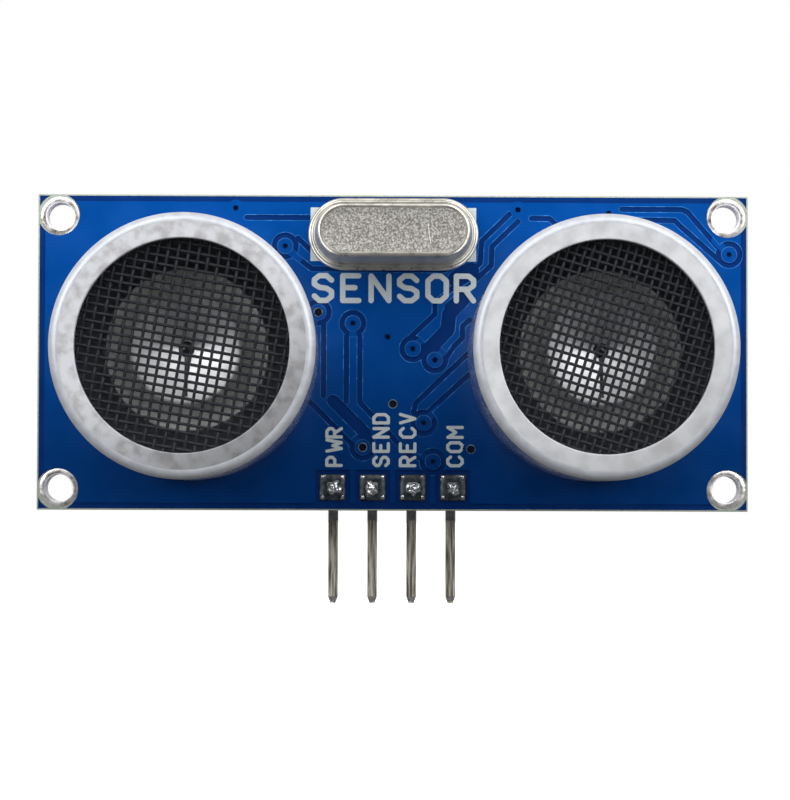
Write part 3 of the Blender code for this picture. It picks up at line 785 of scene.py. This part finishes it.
def screen(name, pitch_x, pitch_y, turn):
    """A plain weave of round wires, cut to a circle and turned a little in its can."""
    _, _, centre, half = local_box(f"{name}_screen")
    radius = half.x - 0.1
    turning = Matrix.Translation(centre) @ Matrix.Rotation(math.radians(turn), 4, "Z")
    shapes = []
    for across, along, along_x in ((pitch_y, pitch_x, True), (pitch_x, pitch_y, False)):
        count = int(radius / across)
        for row in range(-count, count + 1):
            offset = row * across + RANDOM.uniform(-0.02, 0.02)
            chord = math.sqrt(max(radius ** 2 - offset ** 2, 0.0))
            steps = int(chord / along * 4)
            path = []
            for i in range(-steps, steps + 1):
                s = i * along / 4
                lift = 0.5 * WIRE_RADIUS * math.cos(math.pi * s / along + math.pi * row)
                path.append((s, offset, lift) if along_x else (offset, s, -lift))
            if len(path) > 2:
                shapes.append(moved(tube(path, WIRE_RADIUS), turning))
    piece(f"{name}_woven_screen", flat_mesh(name, shapes), [SCREEN_WIRE],
          replaces=(f"{name}_screen",), angle=80.0)


def cone_wall(reach, neck, mouth):
    """Height of the cone's inner wall at a distance from its axis."""
    return neck + CONE_DEPTH * max(reach - CONE_FOOT, 0.0) / (mouth - CONE_FOOT) + 0.1


def resonator(name):
    """The cone with its drop of glue and a dark streak of painted reflection down its lower half,
    in front of the round diaphragm.
    """
    low, high, centre, half = local_box(f"{name}_cone")
    mouth = half.x
    neck = high.z - CONE_DEPTH
    inner_foot = CONE_FOOT - CONE_SHEET
    profile = [(mouth, high.z), (CONE_FOOT, neck), (CONE_FOOT, low.z), (inner_foot, low.z),
               (inner_foot, neck + CONE_SHEET), (mouth - CONE_SHEET * 1.6, high.z)]
    cone = flat_mesh(name, [turned(profile, centre.x, centre.y, steps=96, closed=True)])
    piece(f"{name}_resonator_cone", cone, [CONE], replaces=(f"{name}_cone",),
          angle=60.0)
    # A dark tube down the cone's lower half in the glue's colour: a painted reflection, not glue.
    streak_end = mouth * 0.86
    streak = [(centre.x, centre.y - t * streak_end, cone_wall(t * streak_end, neck, mouth))
           for t in (0.15, 0.3, 0.5, 0.7, 0.85, 1.0)]
    low, high, _, half = local_box(f"{name}_cone_glue")
    profile = [(half.x * math.sin(math.radians(a)),
                low.z + (high.z - low.z) * math.cos(math.radians(a)))
               for a in (10, 25, 40, 55, 70, 85)]
    drop = turned(profile + [(half.x, low.z)], centre.x, centre.y, steps=32)
    glue = flat_mesh(name, [drop, tube(streak, PAINTED_STREAK_RADIUS, 8)])
    piece(f"{name}_glue_drop", glue, [GLUE_AND_PAINTED_STREAK], replaces=(f"{name}_cone_glue",),
          angle=60.0)
    low, high, _, half = local_box(f"{name}_diaphragm")
    radius = half.x
    lip = arc(radius - 0.05, high.z + 0.01, 0.05, 150, 0, 5)
    profile = [(radius - 0.16, high.z - 0.02)] + lip + [(radius, low.z)]
    disc = flat_mesh(name, [turned(profile, centre.x, centre.y, steps=96)])
    for face, reach in faces_round(disc, centre):
        face.material_index = int(reach > radius - 0.12)
    piece(f"{name}_disc", disc, [DISC, CONE], replaces=(f"{name}_diaphragm",),
          angle=60.0)


for can_name, rim_finish, weave in (("transmitter", STAINED_AND_SHADED_RIM, (0.61, 0.51, -10.0)),
                                    ("receiver", CAN_RIM_PAINTED_SHADE, (0.49, 0.53, -17.0))):
    can(can_name, rim_finish)
    screen(can_name, *weave)
    resonator(can_name)

# ---------------------------------------------------------------------------
# The crystal

def crystal():
    """The crystal's flange, its lipped cover with a side of painted reflection, the frosted top and
    a scratch on it.
    """
    low, high, centre, half = local_box("crystal_base")
    radius = half.y
    round_edge = arc(radius - 0.17, low.z + 0.2, 0.17, 90, -30, 6)
    profile = [(radius - 0.45, low.z + 0.3)] + round_edge + [(radius - 0.3, low.z)]
    flange = flat_mesh("flange", [turned(profile, centre.x, centre.y, half.x - radius, 96)])
    piece("crystal_flange", flange, [NICKEL], replaces=("crystal_base",),
          angle=60.0)
    low, high, top, half = local_box("crystal_cover")
    radius = half.y
    lip = arc(radius + 0.1, low.z + 0.14, 0.13, 110, -60, 6)
    shoulder = arc(radius - 0.42, high.z - 0.22, 0.22, 84, 5, 6)
    crown = [(radius - 0.52, high.z - 0.02), (radius - 0.46, high.z - 0.005)]
    profile = crown + shoulder + [(radius - 0.02, low.z + 0.4)] + lip
    cover = flat_mesh("cover", [turned(profile, centre.x, centre.y, half.x - radius, 96)])
    # The cover's side takes the darker nickel of the painted reflection.
    for face in cover.polygons:
        if face.center.z > high.z - 0.06 and len(face.vertices) > 8:
            face.material_index = 1
        elif low.z + 0.5 < face.center.z < high.z - 0.25:
            face.material_index = 2
    piece("crystal_can", cover, [NICKEL, NICKEL_TOP, NICKEL_SIDE_PAINTED_REFLECTION],
          replaces=("crystal_cover",), angle=60.0)
    mark = [(top.x + u, top.y + v) for u, v in ((2.15, 0.35), (2.19, -0.15), (2.3, -0.85))]
    scratch = strokes([mark], 0.05, high.z - 0.03, high.z - 0.012)
    piece("crystal_top_scratch", merged("scratch", scratch), [SCRATCH])


crystal()

# ---------------------------------------------------------------------------
# The header: pads, solder and pins

PAD_THICKNESS = 0.09
PAD_DOME_RISE = 0.1
BLOB_RADIUS = 0.5
BLOB_RISE = 0.34
SUNK_END = 0.3
CORNER_GLINT = 0.13
PIN_BEND = 0.8
PIN_CORNER = 0.05
# A pin carries painted shade above the next height, just below the board, and between the two
# heights after it, over its tip
PAINTED_SHADE_END = -BOARD_Y - 0.65
TIP_START = 0.4
TIP_END = 0.1


def dome(x, y, radius, low, rise, square=False, uneven=0.0, seed=0, rows=12, columns=48):
    """A shallow dome, round or square with round corners, whose surface may be uneven."""
    verts = []
    for row in range(rows + 1):
        t = row / rows
        for column in range(columns):
            a = 2 * math.pi * column / columns
            u, v = math.cos(a), math.sin(a)
            stretch = (u ** 8 + v ** 8) ** -0.125 if square else 1.0
            wander = 1 + 2.2 * uneven * noise.noise(Vector((1.3 * u, 1.3 * v, 4.1 * seed)))
            reach = radius * t * stretch * wander
            spot = Vector((5.0 * reach * u + 7.7 * seed, 5.0 * reach * v, seed))
            ripple = uneven * noise.fractal(spot, 0.7, 2.0, 3) * (1 - t ** 4)
            z = low + rise * max(1 - t ** 2.5, 0.0) ** 0.7 + 0.45 * ripple
            verts.append((x + reach * u, y + reach * v, z if row < rows else low))
    return verts, bands(rows + 1, columns) + caps(rows + 1, columns)[1:]


def header_front():
    """The square pads, their tin painted dark under a clear coat as a painted reflection, with
    uneven solder over the ends of the pins.
    """
    for number, pad in enumerate(header_pads, start=1):
        node = f"header_solder_{number}"
        half = PAD_SIZE / 2
        shapes = [block(pad.x, pad.y, PAD_THICKNESS / 2 - 0.005, PAD_SIZE, PAD_SIZE, PAD_THICKNESS),
                  dome(pad.x, pad.y, half * 0.97, PAD_THICKNESS - 0.02, PAD_DOME_RISE, True)]
        piece(f"header_pad_{number}", flat_mesh(node, shapes), [PAD_PAINTED_REFLECTION], angle=40.0)
        lean = 0.12 * math.sin(2.3 * number)
        shapes = [dome(pad.x + lean, pad.y - 0.1, BLOB_RADIUS, PAD_THICKNESS, BLOB_RISE, False,
                       0.22, number)]
        for u in (-1, 1):
            for v in (-1, 1):
                shapes.append(dome(pad.x + u * (half - 0.2), pad.y + v * (half - 0.2),
                                   CORNER_GLINT, PAD_THICKNESS - 0.01, 0.07, True, 0.1,
                                   number + u + 2 * v, 6, 16))
        piece(f"header_joint_{number}", flat_mesh(node, shapes), [SOLDER],
              replaces=(node,), angle=70.0)


def eight_sided(y, z, turn, wide, deep, x):
    """A ring round a square wire with cut corners, which heads down when turn is 90 degrees."""
    normal = Vector((0.0, math.cos(turn), math.sin(turn)))
    side = Vector((1.0, 0.0, 0.0))
    ring = []
    for u, v in ((-1, -1), (1, -1), (1, 1), (-1, 1)):
        ends = [(wide * u, (deep - PIN_CORNER) * v), ((wide - PIN_CORNER) * u, deep * v)]
        for s, t in ends if u * v > 0 else reversed(ends):
            ring.append(tuple(Vector((x, y, z)) + s * side + t * normal))
    return ring


def pins():
    """Square pins with chamfered tips, bent down behind the board."""
    down = math.radians(90)
    for number in range(1, 5):
        node = f"header_pin_{number}"
        low, high, centre, size = local_box(node)
        half = size.x
        drop = low.z + half
        row_y = middle(f"header_solder_{number}").y
        rings = [(row_y, high.z - SUNK_END, 0.0, half, half)]
        for degrees in range(0, 91, 10):
            a = math.radians(degrees)
            rings.append((row_y - PIN_BEND + PIN_BEND * math.cos(a),
                          drop + PIN_BEND - PIN_BEND * math.sin(a), a, half, half))
        rings += [(PAINTED_SHADE_END, drop, down, half, half), (low.y + 0.42, drop, down, half, half),
                  (low.y + 0.12, drop - 0.04, down, 0.21, 0.21), (low.y, drop, down, 0.17, 0.17)]
        verts = [point for ring in rings for point in eight_sided(*ring, centre.x)]
        mesh = flat_mesh(node, [(verts, bands(len(rings), 8) + caps(len(rings), 8))])
        # Faces just below the board and on the tip's chamfer take the painted shade.
        for face in mesh.polygons:
            place = face.center.y
            face.material_index = int(place > PAINTED_SHADE_END or TIP_END < place - low.y < TIP_START)
        piece(f"square_pin_{number}", mesh, [PIN, PIN_PAINTED_SHADE],
              replaces=(node,), angle=30.0)


header_front()
pins()

# ---------------------------------------------------------------------------
# The back: copper, chips, small parts and soldered leads

TRACE_GAP = 0.3
SLOT = 0.7
# The channels of the back: those that come in mirrored pairs, and the rest
PAIRED_TRACES = [
    [(16.4, 1.2), (16.4, -1.8), (14.2, -2.4), (14.2, -5.2)],
    [(19.4, -2.0), (19.4, -6.2), (17.6, -8.0), (7.2, -8.0)],
    [(11.4, 1.4), (11.4, 0.4), (10.4, -0.6), (10.4, -2.2)],
]
SINGLE_TRACES = [
    [(-20.6, 8.6), (-8.2, 8.6), (-6.4, 7.2), (-5.6, 7.2)],
    [(20.6, 8.6), (8.6, 8.6), (7.2, 7.4), (5.4, 7.4)],
    [(-7.6, 5.2), (-5.6, 5.2), (-4.6, 6.2), (-3.6, 6.2)],
    [(-7.6, 2.6), (-5.4, 2.6)],
    [(5.4, 4.6), (7.8, 4.6), (8.4, 5.2)],
    [(5.4, 2.2), (7.6, 2.2), (8.2, 1.6), (8.2, 0.9)],
    [(-3.8, 0.3), (-3.8, -0.7), (-5.4, -2.3), (-5.4, -6.6)],
    [(-2.5, 0.3), (-2.5, -0.9), (-1.6, -1.9), (-1.6, -6.8)],
    [(-1.0, 0.3), (-1.0, -1.2), (-0.6, -1.7), (-0.6, -6.8)],
    [(1.3, 0.3), (1.3, -1.6), (0.6, -2.3), (0.6, -6.8)],
    [(2.6, 0.3), (2.6, -1.2), (4.9, -1.2), (5.6, -1.9), (5.6, -6.2), (4.9, -6.9)],
    [(-9.0, 0.8), (-9.0, -4.7), (-8.3, -5.4), (-6.2, -5.4)],
    [(9.0, 0.8), (9.0, -4.4), (8.0, -5.4), (6.4, -5.4)],
]
BACK_CHANNELS = [(TRACE_GAP, path) for path in SINGLE_TRACES]
for side in (-1, 1):
    BACK_CHANNELS += [(TRACE_GAP, [(side * x, y) for x, y in path]) for path in PAIRED_TRACES]
    BACK_CHANNELS.append((SLOT, [(side * 20.9, 4.6), (side * 18.6, 4.6)]))
BACK_VIAS = [(-x, y, alone, is_open) for x, y, alone, is_open in FRONT_VIAS]

# Length, width and height of the smallest parts, and their places: (x, y, turned upright)
SMALL_SIZE = (1.6, 0.8, 0.45)
SMALL_RESISTORS = [(-6.6, 7.3, True), (-6.6, 1.7, True), (6.0, 7.3, True), (6.0, 4.4, True),
                   (1.0, -1.2, False), (-15.5, -3.7, True)]
SMALL_CAPACITORS = [(-6.6, 4.5, True), (6.0, 1.6, True), (15.5, -3.7, True), (0.9, -4.3, True),
                    (20.2, -2.3, True)]
for side in (-1, 1):
    SMALL_RESISTORS += [(side * 10.3, -3.7, True), (side * 12.7, -6.3, False),
                        (side * 18.2, -4.4, True), (side * 20.2, 0.8, True),
                        (side * 7.4, -3.2, True)]
    SMALL_CAPACITORS += [(side * 16.0, -6.3, False), (side * 9.4, -6.3, False)]

# The chips with a leg in each place of both rows, and how many places a row has
LOGIC_CHIPS = {"controller_chip": 7, "amplifier_chip": 7, "driver_chip": 8}
SMALL_LIFT = 0.06
LEG_PITCH = 1.27
LEG_WIDTH = 0.42


def levels(x, y, rows):
    """A block whose half width and half height change with z: rows of (z, half_x, half_y)."""
    verts = []
    for z, half_x, half_y in rows:
        verts += [(u, v, z) for u, v in rectangle(x - half_x, y - half_y, x + half_x, y + half_y)]
    return verts, bands(len(rows), 4) + caps(len(rows), 4)


def gull_wing(m):
    """A chip's leg from its middle height m down to its pad, and the pad with the solder.

    They lie in a plane of their own: x runs out of the chip's side, y up, and z along the side.
    """
    outline = [(-0.1, m - 0.1), (0.2, m - 0.1), (0.29, m - 0.18), (0.4, 0.1), (0.5, 0.05),
               (1.05, 0.05), (1.05, 0.22), (0.62, 0.22), (0.54, 0.3), (0.43, m), (0.3, m + 0.1),
               (-0.1, m + 0.1)]
    pad = block(0.95, 0.03, 0, 1.1, 0.06, 0.6)
    wedge = prism([(1.04, 0.05), (1.36, 0.05), (1.16, 0.12), (1.04, 0.2)], -0.22, 0.22)
    return prism(outline, -LEG_WIDTH / 2, LEG_WIDTH / 2), [pad, wedge]


def chip(node, upper, lower):
    """A moulded chip with a drafted body, a first-pin dimple and gull-wing legs."""
    low, high, centre, half = local_box(node, BACK)
    draft = 0.09
    belt = 0.04
    rows = [(low.z, half.x - draft, half.y - draft), (centre.z - belt, half.x, half.y),
            (centre.z + belt, half.x, half.y), (high.z, half.x - draft, half.y - draft)]
    body = flat_mesh(node, [levels(centre.x, centre.y, rows)])
    if len(upper) > 2:
        dimple = circle(centre.x - half.x + 0.75, centre.y - half.y + 0.75, 0.32, 32)
        body = boolean(body, "DIFFERENCE", [prism(dimple, high.z - 0.06, high.z + 1)])
    piece(f"{node}_body", body, [EPOXY], BACK, replaces=(node,), edge=0.05)
    leg, foot = gull_wing(centre.z)
    legs = []
    feet = []
    for side, places in ((1, upper), (-1, lower)):
        for shift in places:
            place = Matrix(((0, 0, 1, centre.x + shift), (side, 0, 0, centre.y + side * half.y),
                            (0, 1, 0, 0), (0, 0, 0, 1)))
            legs.append(moved(leg, place))
            feet += [moved(shape, place) for shape in foot]
    piece(f"{node}_legs", flat_mesh(node, legs), [LEG], BACK, edge=0.02)
    piece(f"{node}_feet", flat_mesh(node, feet), [SOLDER], BACK, edge=0.02)


def small_part_shapes(x, y, size, upright):
    """The body, end caps, and pads with solder of a two-ended part lying along x or y."""
    length, width, height = size
    cap = 0.2 * length
    z = SMALL_LIFT + height / 2
    wedge = prism([(0.0, 0.05), (0.36, 0.05), (0.14, 0.3 * height), (0.0, 0.75 * height)],
                  -width * 0.46, width * 0.46)
    ends = []
    joints = []
    for side in (1, -1):
        ends.append(block(side * (length - cap) / 2, 0, z, cap, width, height))
        joints.append(block(side * (length / 2 + 0.05), 0, 0.03, 0.9, width + 0.14, 0.06))
        place = Matrix(((side, 0, 0, side * length / 2), (0, 0, 1, 0), (0, 1, 0, 0), (0, 0, 0, 1)))
        joints.append(moved(wedge, place))
    body = block(0, 0, z, length - 0.2, width - 0.04, height - 0.04)
    place = Matrix.Translation((x, y, 0)) @ Matrix.Rotation(math.pi / 2 if upright else 0, 4, "Z")
    return [[moved(shape, place) for shape in group] for group in ([body], ends, joints)]


def small_parts(name, places, size, material, replaces=()):
    """All the small parts of one kind."""
    bodies, ends, joints = [], [], []
    for x, y, upright in places:
        body, cap, joint = small_part_shapes(x, y, size, upright)
        bodies += body
        ends += cap
        joints += joint
    piece(f"{name}_bodies", flat_mesh(name, bodies), [material], BACK, replaces=replaces,
          edge=0.03)
    piece(f"{name}_ends", flat_mesh(name, ends), [LEG], BACK, edge=0.04)
    piece(f"{name}_joints", flat_mesh(name, joints), [SOLDER], BACK, edge=0.03)


def placed_part(node, material):
    """The fine version of a small part that the CAD model has."""
    _, _, centre, half = local_box(node, BACK)
    size = (2 * max(half.x, half.y), 2 * min(half.x, half.y), 2 * half.z - SMALL_LIFT)
    small_parts(node, [(centre.x, centre.y, half.y > half.x)], size, material,
                replaces=(node,))


def solder_cone(node):
    """The concave fillet of solder round a lead on the back."""
    low, high, centre, half = local_box(node, BACK)
    rise = high.z - max(low.z, 0.0)
    profile = []
    for k in range(9):
        t = k / 8
        profile.append((half.x * (0.3 + 0.7 * t ** 1.6), high.z - rise * (1 - (1 - t) ** 2.2)))
    profile.append((half.x, 0.0))
    mesh = flat_mesh(node, [turned(profile, centre.x, centre.y, steps=40)])
    piece(f"{node}_fillet", mesh, [SOLDER], BACK, replaces=(node,), angle=60.0)


def back_print():
    """White outlines round the chips and the small parts, with a dot at each first pin."""
    paths = []
    dots = []
    for node in LOGIC_CHIPS:
        low, high, _, _ = local_box(node, BACK)
        x0, y0, x1, y1 = low.x - 0.35, low.y + 0.25, high.x + 0.35, high.y - 0.25
        paths += [[(x0, y0), (x0, y1)], [(x1, y0), (x1, y1)]]
        dots.append(prism(circle(x0 - 0.45, y0, 0.2, 20), INK_BOTTOM, INK_TOP))
    for x, y, upright in SMALL_RESISTORS + SMALL_CAPACITORS:
        u, v = (0.66, 1.42) if upright else (1.42, 0.66)
        outline = rectangle(x - u, y - v, x + u, y + v)
        paths.append(outline + outline[:1])
    low, high, _, _ = local_box("header_body", BACK)
    left, right, top = low.x - 0.3, high.x + 0.3, high.y + 0.3
    paths.append([(left, low.y), (left, top), (right, top), (right, low.y)])
    shapes = strokes(paths, 0.15, INK_BOTTOM, INK_TOP) + dots
    piece("back_print", merged("ink", shapes), [SILKSCREEN], BACK)


solder_nodes = [f"{name}_solder_{side}" for name in ("transmitter", "receiver", "crystal")
                for side in ("left", "right")]
back_openings = corner_openings(-1)
for node in solder_nodes:
    _, _, centre, half = local_box(node, BACK)
    back_openings.append(circle(centre.x, centre.y, half.x + 0.05, 40))
mask("back_mask", BACK, back_openings)
copper("back_copper", BACK, BACK_CHANNELS, BACK_VIAS, [], back_openings)
via_details("back_via", BACK, BACK_VIAS)
back_print()
for node, count in LOGIC_CHIPS.items():
    row = [LEG_PITCH * (k - (count - 1) / 2) for k in range(count)]
    chip(node, row, row)
chip("switching_transistor", [0.0], [-0.95, 0.95])
small_parts("small_resistors", SMALL_RESISTORS, SMALL_SIZE, GLAZE)
small_parts("small_capacitors", SMALL_CAPACITORS, SMALL_SIZE, TAN)
for node in ("supply_capacitor", "filter_capacitor", "charge_capacitor"):
    placed_part(node, TAN)
for node in ("pull_up_resistor", "gain_resistor"):
    placed_part(node, GLAZE)
for node in solder_nodes:
    solder_cone(node)

# ---------------------------------------------------------------------------
# CAD nodes that keep their own shape

KEPT = {
    "header_body": HEADER,
    "crystal_quartz_blank": QUARTZ,
}
for side in ("left", "right"):
    KEPT[f"crystal_lead_{side}"] = LEG
for can_name in ("transmitter", "receiver"):
    KEPT[f"{can_name}_piezo_disc"] = PIEZO
    KEPT[f"{can_name}_support_ring"] = RUBBER
    KEPT[f"{can_name}_base"] = BASE
    for part in ("lead_left", "lead_right", "jumper_to_diaphragm", "jumper_to_piezo"):
        KEPT[f"{can_name}_{part}"] = LEG
for node, material in KEPT.items():
    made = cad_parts[node]
    made.data.materials.clear()
    made.data.materials.append(material)

# ---------------------------------------------------------------------------
# Stage, lights and camera

CAMERA_PLACE = Vector((-1.62, -204.55, -9.43)) * MM
CAMERA_TARGET = Vector((0.135, -1.6, -2.995)) * MM
CAMERA_ROLL = math.radians(0.184)
CAMERA_LENS = 144.3
# Softboxes on an arc over the object: (degrees from straight up, power)
LIGHTS = ((-70, 0.068), (-26, 0.057), (26, 0.063), (70, 0.076))
LIGHT_REACH = 150
LIGHT_TILT = math.radians(50)
LIGHT_SIZE = 66


def camera():
    """The camera where the photo's perspective puts it."""
    data = bpy.data.cameras.new("camera")
    data.lens = CAMERA_LENS
    data.sensor_width = 36.0
    data.clip_start = 0.01
    data.clip_end = 10.0
    made = bpy.data.objects.new("camera", data)
    bpy.context.scene.collection.objects.link(made)
    forward = (CAMERA_TARGET - CAMERA_PLACE).normalized()
    right = forward.cross(Vector((0.0, 0.0, 1.0))).normalized()
    up = right.cross(forward)
    rolled_right = right * math.cos(CAMERA_ROLL) + up * math.sin(CAMERA_ROLL)
    rolled_up = up * math.cos(CAMERA_ROLL) - right * math.sin(CAMERA_ROLL)
    axes = Matrix((rolled_right, rolled_up, -forward)).transposed()
    made.matrix_world = Matrix.Translation(CAMERA_PLACE) @ axes.to_4x4()
    bpy.context.scene.camera = made


def softbox(name, place, power):
    """A square area light that faces the middle of the object."""
    data = bpy.data.lights.new(name, "AREA")
    data.size = LIGHT_SIZE * MM
    data.energy = power
    made = bpy.data.objects.new(name, data)
    bpy.context.scene.collection.objects.link(made)
    made.location = Vector(place) * MM
    made.rotation_euler = (-made.location).to_track_quat("-Z", "Y").to_euler()


def surroundings():
    """White to the eye, and grey with a bright sky for what the surfaces reflect."""
    world = bpy.data.worlds.new("studio")
    world.use_nodes = True
    bpy.context.scene.world = world
    tree = world.node_tree
    background = tree.nodes["Background"]
    coords = tree.nodes.new("ShaderNodeTexCoord")
    split = tree.nodes.new("ShaderNodeSeparateXYZ")
    tree.links.new(coords.outputs["Generated"], split.inputs["Vector"])
    sideways = math_node(tree, "ABSOLUTE", split.outputs["X"])
    sky = map_range(tree, split.outputs["Z"], (-0.12, 0.22), (0.2, 0.9), True)
    front = map_range(tree, split.outputs["Y"], (-0.985, -0.91), (0.03, 1.0), True)
    gap = map_range(tree, sideways, (0.03, 0.16), (0.3, 1.0), True)
    reflected = math_node(tree, "MULTIPLY", math_node(tree, "MULTIPLY", sky, front), gap)
    rays = tree.nodes.new("ShaderNodeLightPath")
    seen = math_node(tree, "MAXIMUM", reflected, rays.outputs["Is Camera Ray"])
    tree.links.new(seen, background.inputs["Color"])
    background.inputs["Strength"].default_value = 1.0


def floor():
    """A pale floor at the pin tips, which polished surfaces don't mirror."""
    bpy.ops.mesh.primitive_plane_add(size=1.6, location=(0.0, 0.0, cad_box[0].z - 0.00002))
    made = bpy.context.object
    made.name = "floor"
    material, _, shader = node_tree("pale_floor")
    shader.inputs["Base Color"].default_value = (0.9, 0.9, 0.9, 1.0)
    shader.inputs["Roughness"].default_value = 0.9
    shader.inputs["Specular IOR Level"].default_value = 0.0
    shader.inputs["Emission Color"].default_value = (1.0, 1.0, 1.0, 1.0)
    shader.inputs["Emission Strength"].default_value = 0.9
    made.data.materials.append(material)
    made.visible_glossy = False
    made.visible_diffuse = False


camera()
surroundings()
floor()
across = LIGHT_REACH * math.sin(LIGHT_TILT)
for number, (azimuth, power) in enumerate(LIGHTS, start=1):
    angle = math.radians(azimuth)
    place = (across * math.sin(angle), -LIGHT_REACH * math.cos(LIGHT_TILT),
             across * math.cos(angle))
    softbox(f"softbox_{number}", place, power)
bpy.context.scene.view_settings.view_transform = "Standard"
